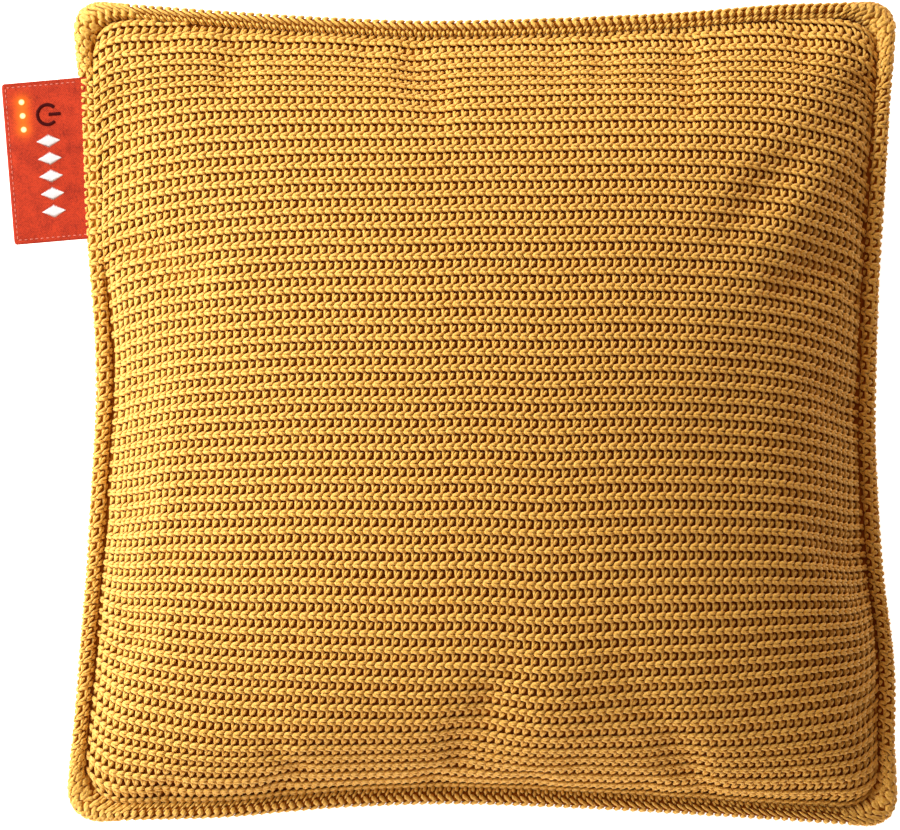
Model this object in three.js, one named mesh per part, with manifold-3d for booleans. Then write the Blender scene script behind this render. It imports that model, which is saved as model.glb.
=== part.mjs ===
// A heated cushion in ribbed knit, lying on its back, with a woven control tab sewn into its left edge.
// Millimetres, +Z up. The origin is the middle of the flat patch that the cushion rests on.
// +X runs to the right and +Y to the top edge, as seen from above.
import * as THREE from "three";
import { mergeVertices } from "three/addons/utils/BufferGeometryUtils.js";
import Module from "manifold-3d";

// The cloth's outer corners, as far as each one reaches, and how round it is
const CORNERS = {
  topLeft: { x: -223.5, y: 225.6, round: 11 },
  topRight: { x: 226.2, y: 225.1, round: 10 },
  bottomRight: { x: 227.3, y: -225.6, round: 12 },
  bottomLeft: { x: -227.3, y: -222.9, round: 14 },
};

// Each side runs between two corners, from left to right or from the bottom up.
// hollow is how far it is drawn in, deepest is where (-1 to 1), and lip is the width outside the stitch line.
const SIDES = {
  left: { from: "bottomLeft", to: "topLeft", axis: "y", out: -1, hollow: 15.6, deepest: 0.08, lip: 9 },
  right: { from: "bottomRight", to: "topRight", axis: "y", out: 1, hollow: 13, deepest: 0, lip: 9 },
  bottom: { from: "bottomLeft", to: "bottomRight", axis: "x", out: -1, hollow: 12.3, deepest: -0.07, lip: 9.5 },
  top: { from: "topLeft", to: "topRight", axis: "x", out: 1, hollow: 12, deepest: -0.15, lip: 8 },
};
const HOLLOW_POWER = 1.5;

// Where the filling pushes a side out a little: its place along the side (-1 to 1), spread and reach
const EDGE_SWELLS = [
  { side: "right", at: -0.62, spread: 0.2, reach: 3.8 },
  { side: "bottom", at: -0.64, spread: 0.2, reach: 2.2 },
  { side: "left", at: 0.42, spread: 0.18, reach: 2 },
  { side: "top", at: 0.72, spread: 0.16, reach: 1.4 },
];

// The filled body
const SEAM_HEIGHT = 58;
const FRONT_CROWN = 76;
const BACK_CROWN = 67;
const SEAM_HALF_GAP = 1; // from the seam's middle plane to each panel at the stitch line
const ACROSS_POWER = 0.6;
const TOP_POWER = 0.72; // the slope is longer towards the top edge
const BOTTOM_POWER = 0.54; // and shorter towards the bottom edge, where the filling has settled
const CORNER_DROOP = 9;
const DROOP_POWER = 4;
const EDGE_WAVE = 1.2;

// Soft dents (-) and ridges (+) in the front: place, direction in degrees, half length, half width, height
const FOLDS = [
  { x: 152, y: 122, turn: 47, long: 62, wide: 15, high: -4.5 },
  { x: 186, y: 128, turn: 62, long: 55, wide: 11, high: 2.5 },
  { x: 140, y: 40, turn: 78, long: 60, wide: 16, high: -2.6 },
  { x: -178, y: 120, turn: 96, long: 62, wide: 10, high: 2.6 },
  { x: -152, y: 70, turn: 72, long: 60, wide: 11, high: -2.4 },
  { x: -168, y: -40, turn: 84, long: 52, wide: 12, high: 2.4 },
  { x: -140, y: -118, turn: 118, long: 60, wide: 14, high: -2.2 },
  { x: 36, y: -152, turn: 84, long: 40, wide: 20, high: 3 },
  { x: -2, y: -160, turn: 66, long: 42, wide: 13, high: -2.6 },
  { x: 92, y: -158, turn: 120, long: 46, wide: 15, high: -2.6 },
  { x: -160, y: 196, turn: 20, long: 40, wide: 9, high: 2.2 },
];

// The knit: horizontal ribs on both panels, one course of the knit each
const COURSES = 54;
const RIB_RELIEF = 0.75; // crest and trough each lie this far from the panel's mean surface
const FRONT_COLUMNS = 18;
const BACK_COLUMNS = 12;

// How the courses lie at heights v from -1 to 1: how far the middle of a course bows up, and how far the whole
// course has moved, as shares of half the cloth's height
const BOW_POWER = 4;
const COURSE_SHIFTS = [
  { v: -1, bow: 0, moved: 0 },
  { v: -0.9, bow: -0.015, moved: 0.03 },
  { v: -0.8, bow: -0.026, moved: 0.03 },
  { v: -0.7, bow: -0.028, moved: 0.038 },
  { v: -0.6, bow: -0.01, moved: 0.021 },
  { v: -0.5, bow: 0.014, moved: -0.001 },
  { v: -0.35, bow: 0.065, moved: -0.037 },
  { v: -0.1, bow: 0.087, moved: -0.047 },
  { v: 0.15, bow: 0.087, moved: -0.053 },
  { v: 0.4, bow: 0.079, moved: -0.038 },
  { v: 0.6, bow: 0.07, moved: -0.025 },
  { v: 0.75, bow: 0.063, moved: -0.012 },
  { v: 0.9, bow: 0.03, moved: -0.02 },
  { v: 1, bow: 0, moved: 0 },
];

// Across the sewn lip: share of its width in from the cloth's edge, and height from the seam's middle plane
const FRONT_LIP = [
  { inset: 0.72, height: 3.6 },
  { inset: 0.28, height: 3.4 },
  { inset: 0, height: 0.4 },
];
const BACK_LIP = [
  { inset: 0.28, height: -3.2 },
  { inset: 0.72, height: -3.4 },
];

// The control tab: a flat woven loop whose raw end is sewn into the left edge
const TAB_THICK = 2.6;
const TAB_WIDE = 88;
const TAB_REACH = 40.5; // what shows of it
const TAB_INSERTED = 8;
const TAB_ROUND = 1.6;
const TAB_BEVEL = 0.5;
const TAB_OUTER_END = { x: -258.9, y: 136 };
const TAB_TURN = THREE.MathUtils.degToRad(4.7);
const TAB_DROOP = THREE.MathUtils.degToRad(3.2);
const TAB_ROOT_HEIGHT = SEAM_HEIGHT - 0.4;
const GAP = 0.3;

// Over the tab the front panel runs on smoothly to the edge, with no sunken stitch line
const SMOOTH_FROM = 0.38; // along the left side, from -1 to 1
const SMOOTH_TO = 0.9;
const SMOOTH_BLEND = 0.07;
const SMOOTH_POWER = 0.3; // how much gentler the crown rises there
const SMOOTH_LIFT = [6.5, 2.6, 1.2, 1.4]; // at the stitch line and at each row of the front lip

// The three light windows in the tab: places in the tab's own frame, from its outer end and its middle
const LIGHT_RADIUS = 1.65;
const LIGHT_SEAT = 0.9;
const LIGHT_PROUD = 0.25;
const LIGHT_SIDES = 16;
const LIGHT_FROM_END = 10.7;
const LIGHT_FIRST = 33.2;
const LIGHT_PITCH = 7.5;
const LIGHT_COUNT = 3;

const knitYarn = new THREE.MeshStandardMaterial({ color: 0xd9a035, roughness: 0.92, metalness: 0 });
const tabCloth = new THREE.MeshStandardMaterial({ color: 0xdd4c2b, roughness: 0.8, metalness: 0 });
const lightLens = new THREE.MeshStandardMaterial({
  color: 0xffe2b8,
  emissive: 0xff9a3c,
  roughness: 0.4,
  metalness: 0,
});

const mix = THREE.MathUtils.lerp;
const bump = (distance, spread) => Math.exp(-((distance / spread) ** 2));

// How far a round corner falls away from its straight line
function cornerDrop(distance, radius) {
  if (distance >= radius) return 0;
  return radius - Math.sqrt(radius ** 2 - (radius - distance) ** 2);
}

// A corner of the loop that lies a share of the lip's width inside the cloth's edge
function cornerPoint(name, inset) {
  const { x, y, round } = CORNERS[name];
  const upright = x < 0 ? SIDES.left : SIDES.right;
  const level = y < 0 ? SIDES.bottom : SIDES.top;
  return {
    x: x - upright.out * upright.lip * inset,
    y: y - level.out * level.lip * inset,
    round,
  };
}

// A point of one side of that loop, at t from -1 to 1
function sidePoint(sideName, t, inset) {
  const side = SIDES[sideName];
  const across = side.axis === "x" ? "y" : "x";
  const a = cornerPoint(side.from, inset);
  const b = cornerPoint(side.to, inset);
  const cut = 1 - Math.SQRT1_2; // a round corner is shared at its middle by both sides
  const along = mix(a[side.axis] + cut * a.round, b[side.axis] - cut * b.round, (t + 1) / 2);
  const line = mix(a[across], b[across], (along - a[side.axis]) / (b[side.axis] - a[side.axis]));
  const drop = cornerDrop(along - a[side.axis], a.round) + cornerDrop(b[side.axis] - along, b.round);
  const fromDeepest = t > side.deepest
    ? (t - side.deepest) / (1 - side.deepest)
    : (side.deepest - t) / (1 + side.deepest);
  const hollow = side.hollow * (1 - fromDeepest ** HOLLOW_POWER);
  const swell = EDGE_SWELLS.filter((row) => row.side === sideName)
    .reduce((sum, row) => sum + row.reach * bump(t - row.at, row.spread), 0);
  return { [side.axis]: along, [across]: line - side.out * (drop + hollow - swell) };
}

// The place in plan of the panel point (p, q), each from -1 to 1 inside the stitch line.
// The four sides are blended across the panel.
function planPoint(p, q, inset = 1) {
  const left = sidePoint("left", q, inset);
  const right = sidePoint("right", q, inset);
  const bottom = sidePoint("bottom", p, inset);
  const top = sidePoint("top", p, inset);
  const ends = [
    sidePoint("bottom", -1, inset),
    sidePoint("bottom", 1, inset),
    sidePoint("top", -1, inset),
    sidePoint("top", 1, inset),
  ];
  const s = (p + 1) / 2;
  const t = (q + 1) / 2;
  const blend = (key) => mix(left[key], right[key], s) + mix(bottom[key], top[key], t)
    - mix(mix(ends[0][key], ends[1][key], s), mix(ends[2][key], ends[3][key], s), t);
  return { x: blend("x"), y: blend("y") };
}

function seamHeight(p, q) {
  const wave = Math.sin(5 * p + 2 * q + 1) + Math.sin(6 * q - 3 * p);
  return SEAM_HEIGHT - CORNER_DROOP * Math.abs(p * q) ** DROOP_POWER + EDGE_WAVE * wave * (p * p + q * q) / 2;
}

// The share of the full crown at (p, q): 1 at the fullest place, 0 at the stitch line. Where softer is more
// than 0, the crown rises more gently from the left and right edges.
function crownShare(p, q, softer = 0) {
  const fullest = (BOTTOM_POWER - TOP_POWER) / (BOTTOM_POWER + TOP_POWER);
  const rise = (at) => Math.max(0, 1 - at) ** TOP_POWER * Math.max(0, 1 + at) ** BOTTOM_POWER;
  return Math.max(0, 1 - p * p) ** (ACROSS_POWER + softer) * rise(q) / rise(fullest);
}

function foldHeight(x, y) {
  return FOLDS.reduce((sum, fold) => {
    const angle = THREE.MathUtils.degToRad(fold.turn);
    const along = (x - fold.x) * Math.cos(angle) + (y - fold.y) * Math.sin(angle);
    const aside = (y - fold.y) * Math.cos(angle) - (x - fold.x) * Math.sin(angle);
    return sum + fold.high * bump(along, fold.long) * bump(aside, fold.wide);
  }, 0);
}

// How much the left edge is smoothed over the tab, 0 or 1 with soft ends
function smoothShare(p, q) {
  const onLeft = THREE.MathUtils.smoothstep(-p, 0.86, 1);
  const begins = THREE.MathUtils.smoothstep(q, SMOOTH_FROM - SMOOTH_BLEND, SMOOTH_FROM + SMOOTH_BLEND);
  const ends = THREE.MathUtils.smoothstep(q, SMOOTH_TO - SMOOTH_BLEND, SMOOTH_TO + SMOOTH_BLEND);
  return onLeft * begins * (1 - ends);
}

function frontPoint(p, q) {
  const { x, y } = planPoint(p, q);
  const crown = crownShare(p, q, SMOOTH_POWER * smoothShare(p, q));
  const folds = foldHeight(x, y) * Math.min(1, 3 * crown);
  const lift = SMOOTH_LIFT[0] * smoothShare(p, q) * (1 - crown);
  return new THREE.Vector3(x, y, seamHeight(p, q) + SEAM_HALF_GAP + FRONT_CROWN * crown + folds + lift);
}

function backPoint(p, q) {
  const { x, y } = planPoint(p, q);
  return new THREE.Vector3(x, y, seamHeight(p, q) - SEAM_HALF_GAP - BACK_CROWN * crownShare(p, q));
}

// A line over a panel, as a curve that knows its own length
class PanelLine extends THREE.Curve {
  constructor(pointAt) {
    super();
    this.pointAt = pointAt;
    this.arcLengthDivisions = 400;
  }

  getPoint(t) {
    return this.pointAt(2 * t - 1);
  }

  // Where shares of the line's length fall on it, both from -1 to 1
  placesAt(shares) {
    return shares.map((share) => 2 * this.getUtoTmapping((share + 1) / 2) - 1);
  }
}

const evenSteps = (count) => Array.from({ length: count + 1 }, (_, i) => 2 * i / count - 1);

// Where a course of an even cloth lies once the cloth is bowed and has moved
function bowed(u, v) {
  const next = Math.max(1, COURSE_SHIFTS.findIndex((row) => row.v >= v));
  const a = COURSE_SHIFTS[next - 1];
  const b = COURSE_SHIFTS[next];
  const share = (v - a.v) / (b.v - a.v);
  return v + (1 - Math.abs(u) ** BOW_POWER) * mix(a.bow, b.bow, share) + mix(a.moved, b.moved, share);
}

// The panel's mesh places: columns follow the wales, even along the cloth, and rows follow the courses
function panelPlaces(surface, columns, rows) {
  const us = evenSteps(columns);
  const vs = evenSteps(rows);
  const middleColumns = new PanelLine((p) => surface(p, 0)).placesAt(us);
  const middleRows = new PanelLine((q) => surface(0, q)).placesAt(vs);
  const rowsOfColumn = middleColumns.map((p, i) => (
    new PanelLine((q) => surface(p, q)).placesAt(vs.map((v) => bowed(us[i], v)))
  ));
  const columnsOfRow = middleRows.map((q) => new PanelLine((p) => surface(p, q)).placesAt(us));
  return middleRows.map((_, j) => middleColumns.map((__, i) => ({
    p: columnsOfRow[j][i],
    q: rowsOfColumn[i][j],
  })));
}

// The crest of a rib on odd rows and the trough on even ones, laid off square to the surface
function ribbedPoint(surface, place, row) {
  const { p, q } = place;
  const step = 0.01;
  const reach = 1 - step;
  const pIn = THREE.MathUtils.clamp(p, -reach, reach);
  const qIn = THREE.MathUtils.clamp(q, -reach, reach);
  const across = surface(pIn + step, qIn).sub(surface(pIn - step, qIn));
  const up = surface(pIn, qIn + step).sub(surface(pIn, qIn - step));
  const normal = across.cross(up).normalize();
  return surface(p, q).addScaledVector(normal, ribSide(row) * RIB_RELIEF);
}

const ribSide = (row) => (row % 2 === 1 ? 1 : -1);

// Collects shared points and triangles for one closed body
class Body {
  points = [];
  triangles = [];

  add(point) {
    this.points.push(point.x, point.y, point.z);
    return this.points.length / 3 - 1;
  }

  // Two closed loops, both counterclockwise from above, joined by one band. A loop's entries hold a point's
  // index and its turn, which rises from 0 to 4 around the loop.
  join(inner, outer) {
    const turnOf = (loop, i) => (i < loop.length ? loop[i].turn : 4);
    const at = (loop, i) => loop[i % loop.length].index;
    let i = 0;
    let o = 0;
    while (i < inner.length || o < outer.length) {
      const innerNext = o === outer.length || (i < inner.length && turnOf(inner, i + 1) <= turnOf(outer, o + 1));
      if (innerNext) {
        this.triangles.push(at(inner, i), at(outer, o), at(inner, i + 1));
        i += 1;
      } else {
        this.triangles.push(at(inner, i), at(outer, o), at(outer, o + 1));
        o += 1;
      }
    }
  }

  // A panel of quads, seen from the front where facing is 1 and from behind where it is -1
  panel(indices, facing) {
    for (let j = 0; j + 1 < indices.length; j += 1) {
      for (let i = 0; i + 1 < indices[j].length; i += 1) {
        const a = indices[j][i];
        const b = indices[j][i + 1];
        const c = indices[j + 1][i + 1];
        const d = indices[j + 1][i];
        this.triangles.push(...(facing > 0 ? [a, b, c, a, c, d] : [a, c, b, a, d, c]));
      }
    }
  }

  geometry() {
    const geometry = new THREE.BufferGeometry();
    geometry.setAttribute("position", new THREE.Float32BufferAttribute(this.points, 3));
    geometry.setIndex(this.triangles);
    return geometry;
  }
}

// The rim of a panel's places, counterclockwise from the bottom left, with its turn from 0 to 4
function rimOf(places) {
  const rows = places.length - 1;
  const columns = places[0].length - 1;
  const rim = [];
  for (let i = 0; i < columns; i += 1) rim.push({ i, j: 0, turn: i / columns });
  for (let j = 0; j < rows; j += 1) rim.push({ i: columns, j, turn: 1 + j / rows });
  for (let i = columns; i > 0; i -= 1) rim.push({ i, j: rows, turn: 3 - i / columns });
  for (let j = rows; j > 0; j -= 1) rim.push({ i: 0, j, turn: 4 - j / rows });
  return rim;
}

// One loop of the lip: each rim place carried out to the loop's inset, with the courses' small scallops
function lipLoop(body, places, rim, { inset, height }, lift) {
  const lastRow = places.length - 1;
  return rim.map(({ i, j, turn }) => {
    const { p, q } = places[j][i];
    const onUpright = j > 0 && j < lastRow;
    const scallop = onUpright ? ribSide(j) * RIB_RELIEF * Math.sign(p) * (1 - inset) : 0;
    const { x, y } = planPoint(p, q, inset);
    const z = seamHeight(p, q) + height + lift * smoothShare(p, q);
    return { index: body.add({ x: x + scallop, y, z }), turn };
  });
}

function cushionGeometry() {
  const body = new Body();
  const rows = 2 * COURSES;
  const front = panelPlaces(frontPoint, FRONT_COLUMNS, rows);
  const back = panelPlaces(backPoint, BACK_COLUMNS, rows);

  const frontIndices = front.map((row, j) => row.map((place) => body.add(ribbedPoint(frontPoint, place, j))));
  // The back presses flat on what it lies on
  const backIndices = back.map((row, j) => row.map((place) => {
    const point = ribbedPoint(backPoint, place, -j);
    return body.add(point.setZ(Math.max(0, point.z)));
  }));
  body.panel(frontIndices, 1);
  body.panel(backIndices, -1);

  const frontRim = rimOf(front);
  const backRim = rimOf(back);
  const loops = [
    frontRim.map(({ i, j, turn }) => ({ index: frontIndices[j][i], turn })),
    ...FRONT_LIP.map((row, k) => lipLoop(body, front, frontRim, row, SMOOTH_LIFT[k + 1])),
    ...BACK_LIP.map((row) => lipLoop(body, back, backRim, row, 0)),
    backRim.map(({ i, j, turn }) => ({ index: backIndices[j][i], turn })),
  ];
  for (let k = 0; k + 1 < loops.length; k += 1) body.join(loops[k], loops[k + 1]);
  return body.geometry();
}

// The tab's own frame: its outer end at x = 0, its root towards +x, its middle plane at z = 0
function tabFrame() {
  const endHeight = TAB_ROOT_HEIGHT - Math.sin(TAB_DROOP) * TAB_REACH;
  const frame = new THREE.Group();
  frame.position.set(TAB_OUTER_END.x, TAB_OUTER_END.y, endHeight);
  frame.rotation.set(0, -TAB_DROOP, TAB_TURN, "ZYX");
  frame.updateMatrixWorld(true);
  return frame;
}

function tabOutline(grow) {
  const low = -grow;
  const high = TAB_REACH + TAB_INSERTED + grow;
  const half = TAB_WIDE / 2 + grow;
  const round = TAB_ROUND;
  const shape = new THREE.Shape();
  shape.moveTo(low + round, -half);
  shape.lineTo(high, -half);
  shape.lineTo(high, half);
  shape.lineTo(low + round, half);
  shape.absarc(low + round, half - round, round, Math.PI / 2, Math.PI, false);
  shape.absarc(low + round, round - half, round, Math.PI, 1.5 * Math.PI, false);
  return shape;
}

function tabPlate() {
  const plate = new THREE.ExtrudeGeometry(tabOutline(-TAB_BEVEL), {
    depth: TAB_THICK - 2 * TAB_BEVEL,
    bevelThickness: TAB_BEVEL,
    bevelSize: TAB_BEVEL,
    bevelSegments: 2,
    curveSegments: 4,
  });
  return plate.translate(0, 0, TAB_BEVEL - TAB_THICK / 2);
}

// The slot in the cushion's edge, with a small clearance all round the tab
function slotBlock() {
  const block = new THREE.ExtrudeGeometry(tabOutline(GAP), {
    depth: TAB_THICK + 2 * GAP,
    bevelEnabled: false,
    curveSegments: 4,
  });
  return block.translate(0, 0, -TAB_THICK / 2 - GAP);
}

function lightPlace(k) {
  return new THREE.Vector3(LIGHT_FROM_END, LIGHT_FIRST - k * LIGHT_PITCH, TAB_THICK / 2);
}

// A round pillar standing on z = 0, moved to its place in the tab's frame
function pillar(radius, low, high, place) {
  const geometry = new THREE.CylinderGeometry(radius, radius, high - low, LIGHT_SIDES);
  return geometry.rotateX(Math.PI / 2).translate(place.x, place.y, place.z + (low + high) / 2);
}

const wasm = await Module();
wasm.setup();

function toSolid(geometry) {
  const bare = geometry.clone();
  bare.deleteAttribute("normal");
  bare.deleteAttribute("uv");
  const merged = mergeVertices(bare, 1e-4);
  return new wasm.Manifold(new wasm.Mesh({
    numProp: 3,
    vertProperties: new Float32Array(merged.attributes.position.array),
    triVerts: new Uint32Array(merged.index.array),
  }));
}

function toGeometry(solid) {
  const mesh = solid.getMesh();
  const geometry = new THREE.BufferGeometry();
  geometry.setAttribute("position", new THREE.BufferAttribute(mesh.vertProperties, mesh.numProp));
  geometry.setIndex(new THREE.BufferAttribute(mesh.triVerts, 1));
  geometry.computeVertexNormals();
  return geometry;
}

function named(name, geometry, material) {
  const mesh = new THREE.Mesh(geometry, material);
  mesh.name = name;
  return mesh;
}

function makeCushion(frame) {
  const slot = toSolid(slotBlock().applyMatrix4(frame.matrixWorld));
  return named("cushion", toGeometry(toSolid(cushionGeometry()).subtract(slot)), knitYarn);
}

function makeTab() {
  const seats = Array.from({ length: LIGHT_COUNT }, (_, k) => (
    toSolid(pillar(LIGHT_RADIUS + GAP, -LIGHT_SEAT, 1, lightPlace(k)))
  ));
  const plate = seats.reduce((solid, seat) => solid.subtract(seat), toSolid(tabPlate()));
  return named("control_tab", toGeometry(plate), tabCloth);
}

function makeLight(k) {
  const lens = pillar(LIGHT_RADIUS, GAP - LIGHT_SEAT, LIGHT_PROUD, lightPlace(k));
  return named(`light_${k + 1}`, lens, lightLens);
}

const heatedCushion = new THREE.Group();
const tab = tabFrame();
heatedCushion.add(makeCushion(tab));
tab.add(makeTab());
for (let k = 0; k < LIGHT_COUNT; k += 1) tab.add(makeLight(k));
heatedCushion.add(tab);

export default heatedCushion;
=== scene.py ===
# %% [markdown]
# # A heated cushion and its knit cover
#
# The imported model gives a filled cushion with a control tab in its left edge, of the right size but bare.
# This lesson dresses it: the cover is made stitch by stitch from a few yarn shapes, and the tab gets its
# woven cloth, its sewing, its embroidered marks and its lit windows.
#
# The first cell loads the model, and `part_box` reads the box of any of its parts.

# %% Load the imported model
import math

import bpy
import numpy as np
from mathutils import Matrix, Vector


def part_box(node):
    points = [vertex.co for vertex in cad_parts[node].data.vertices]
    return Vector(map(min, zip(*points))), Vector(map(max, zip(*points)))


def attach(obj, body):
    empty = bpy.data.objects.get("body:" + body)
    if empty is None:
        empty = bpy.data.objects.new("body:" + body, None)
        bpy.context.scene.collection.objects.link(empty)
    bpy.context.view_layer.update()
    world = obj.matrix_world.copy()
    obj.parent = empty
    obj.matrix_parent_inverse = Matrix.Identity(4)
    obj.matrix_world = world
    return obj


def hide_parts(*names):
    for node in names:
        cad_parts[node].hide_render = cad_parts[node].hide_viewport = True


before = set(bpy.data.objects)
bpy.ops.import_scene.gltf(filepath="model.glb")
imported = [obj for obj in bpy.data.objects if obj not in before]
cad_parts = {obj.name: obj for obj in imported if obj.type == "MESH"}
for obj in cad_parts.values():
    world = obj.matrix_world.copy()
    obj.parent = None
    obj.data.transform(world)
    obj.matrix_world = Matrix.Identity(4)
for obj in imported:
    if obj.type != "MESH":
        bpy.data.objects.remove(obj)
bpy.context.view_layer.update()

MM = 0.001
RANDOM_SEED = 45
BODY = "root"

# %% [markdown]
# ## The camera
#
# The cushion lies on its back and the picture was taken square to its face, so the camera looks straight down
# from two metres. One pixel is 0.545 mm at the height of the sewn edge, which sets the lens. The plain view
# transform keeps strong mustard and orange as strong as in the picture.

# %% Place the camera
PICTURE_WIDTH, PICTURE_HEIGHT = 900, 830
CUSHION_MIDDLE = (482, 414)  # where the origin lies in the picture, in pixels
PIXEL = 0.545 * MM
SEAM_HEIGHT = 58 * MM
CAMERA_AWAY = 2.0
SENSOR = 36.0  # millimetres, Blender's own camera unit

camera_data = bpy.data.cameras.new("camera")
camera_data.sensor_width = SENSOR
camera_data.lens = SENSOR * CAMERA_AWAY / (PICTURE_WIDTH * PIXEL)
camera_data.clip_end = 20
camera = bpy.data.objects.new("camera", camera_data)
camera.location = (
    (PICTURE_WIDTH / 2 - CUSHION_MIDDLE[0]) * PIXEL,
    (CUSHION_MIDDLE[1] - PICTURE_HEIGHT / 2) * PIXEL,
    SEAM_HEIGHT + CAMERA_AWAY,
)
bpy.context.collection.objects.link(camera)
bpy.context.scene.camera = camera
bpy.context.scene.view_settings.view_transform = "Standard"
print("the lens is", round(camera_data.lens), "mm")

# %% [markdown]
# ## Shader maths as Python
#
# A node tree gets long when each sum is a node that is added and linked by hand. `Value` wraps a socket, so
# that `1 - mask * 0.5` adds its own Math nodes. Every other node comes from `Finish.node`, which sets the
# node's settings first, and then its sockets.

# %% A wrapper for sockets
class Value:
    """A number in a node tree that can be used in an expression."""

    def __init__(self, finish, socket):
        self.finish = finish
        self.socket = socket

    def maths(self, operation, *numbers):
        inputs = dict(enumerate(numbers))
        return Value(self.finish, self.finish.node("Math", {"operation": operation}, inputs).outputs[0])

    def __add__(self, other):
        return self.maths("ADD", self, other)

    def __sub__(self, other):
        return self.maths("SUBTRACT", self, other)

    def __rsub__(self, other):
        return self.maths("SUBTRACT", other, self)

    def __mul__(self, other):
        return self.maths("MULTIPLY", self, other)

    def __truediv__(self, other):
        return self.maths("DIVIDE", self, other)

    def __pow__(self, other):
        return self.maths("POWER", self, other)

    def of(self, operation, *others):
        """One of Blender's named operations on this number, such as SINE or MINIMUM."""
        return self.maths(operation, self, *others)


# %% A builder for materials
class Finish:
    """A material that is built in code, around one Principled shader."""

    def __init__(self, name):
        self.material = bpy.data.materials.new(name)
        self.material.use_nodes = True
        self.tree = self.material.node_tree
        self.shader = self.tree.nodes["Principled BSDF"]
        self.own = self.node("TexCoord").outputs["Object"]  # the piece's own coordinates

    def node(self, kind, settings=None, inputs=None):
        node = self.tree.nodes.new("ShaderNode" + kind)
        for key, value in (settings or {}).items():
            setattr(node, key, value)
        for key, value in (inputs or {}).items():
            self.feed(node.inputs[key], value)
        return node

    def feed(self, socket, value):
        if isinstance(value, Value):
            value = value.socket
        if isinstance(value, bpy.types.NodeSocket):
            self.tree.links.new(value, socket)
        else:
            socket.default_value = value

    def value(self, kind, settings=None, inputs=None, output=0):
        return Value(self, self.node(kind, settings, inputs).outputs[output])

    def noise(self, size, detail=3.0, roughness=0.55):
        """Noise from 0 to 1 whose patches are about size across, in metres."""
        inputs = {"Vector": self.own, "Scale": 1 / size, "Detail": detail, "Roughness": roughness}
        return self.value("TexNoise", {}, inputs)

    def mix(self, share, first, second):
        """A colour between two colours."""
        node = self.node("Mix", {"data_type": "RGBA", "blend_type": "MIX"}, {"Factor": share})
        self.feed(node.inputs[6], first)
        self.feed(node.inputs[7], second)
        return node.outputs[2]

    def map(self, name):
        """Reads the piece's own UV map, as x and y."""
        uv = self.node("UVMap", {"uv_map": name}).outputs[0]
        split = self.node("SeparateXYZ", {}, {0: uv})
        return Value(self, split.outputs[0]), Value(self, split.outputs[1])

    def bump(self, height, distance):
        node = self.node("Bump", {}, {"Height": height, "Distance": distance, "Strength": 1.0})
        self.set(Normal=node.outputs[0])

    def set(self, **sockets):
        for name, value in sockets.items():
            self.feed(self.shader.inputs[name.replace("_", " ")], value)


# %% [markdown]
# ## The floor and the light
#
# A pale floor carries the cushion, and glows a little, so that it stays white. In the picture the left slopes
# are bright and the right slopes are brown, so two large panels stand rather low on the left.
# Two weak, warmer ones light the slopes along the top and bottom edges. The warm surrounding fills the shade,
# and only the camera sees the white backdrop in its place.

# %% Add the floor
bpy.ops.object.select_all(action="DESELECT")
bpy.ops.mesh.primitive_plane_add(size=6, location=(0, 0, 0))
floor = bpy.context.active_object
floor.name = "floor"

paper = Finish("pale floor")
paper_shade = paper.noise(0.4)
paper.set(Base_Color=paper.mix(paper_shade, (0.86, 0.86, 0.86, 1), (0.9, 0.9, 0.9, 1)), Roughness=0.9)
paper.set(Emission_Color=(1, 1, 1, 1), Emission_Strength=0.9)
floor.data.materials.append(paper.material)

# %% Add the lights
LIGHTS = [
    # name, place, size across, power in watts, colour
    ("key", (-1.5, 1.15, 1.1), 1.0, 56, (0.96, 1, 0.96)),
    ("from the left", (-1.9, 0, 0.65), 1.6, 46, (0.96, 1, 0.96)),
    ("from above", (0.6, 1.8, 0.8), 1.0, 14, (1, 0.68, 0.42)),
    ("from below", (-0.3, -1.9, 0.45), 1.0, 20, (1, 0.8, 0.6)),
]
for name, place, size, power, colour in LIGHTS:
    light_data = bpy.data.lights.new(name, "AREA")
    light_data.size = size
    light_data.energy = power
    light_data.color = colour
    light = bpy.data.objects.new(name, light_data)
    light.location = place
    light.rotation_euler = (Vector((0, 0, SEAM_HEIGHT)) - Vector(place)).to_track_quat("-Z", "Y").to_euler()
    bpy.context.collection.objects.link(light)

# %% Add the surrounding and the backdrop
world = bpy.data.worlds.new("studio")
world.use_nodes = True
world_nodes, world_links = world.node_tree.nodes, world.node_tree.links
surrounding = world_nodes["Background"]
surrounding.inputs["Color"].default_value = (1, 0.64, 0.38, 1)
surrounding.inputs["Strength"].default_value = 0.2
backdrop = world_nodes.new("ShaderNodeBackground")
backdrop.inputs["Color"].default_value = (1, 1, 1, 1)
seen = world_nodes.new("ShaderNodeLightPath")
chooser = world_nodes.new("ShaderNodeMixShader")
world_links.new(seen.outputs["Is Camera Ray"], chooser.inputs[0])
world_links.new(surrounding.outputs[0], chooser.inputs[1])
world_links.new(backdrop.outputs[0], chooser.inputs[2])
world_links.new(chooser.outputs[0], world_nodes["World Output"].inputs["Surface"])
bpy.context.scene.world = world

# %% [markdown]
# ## The outline of the cloth
#
# A cushion cover is two squares of cloth, sewn together a little way in from their edge. Filling pulls the
# sides in between the corners. Each side is one formula: a straight line, less the round corners, less the
# hollow, plus a small swell where the filling pushes out. The same formula gives the stitch line, moved in by
# the width of the lip and with rounder corners. All sizes here are in millimetres.

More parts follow.
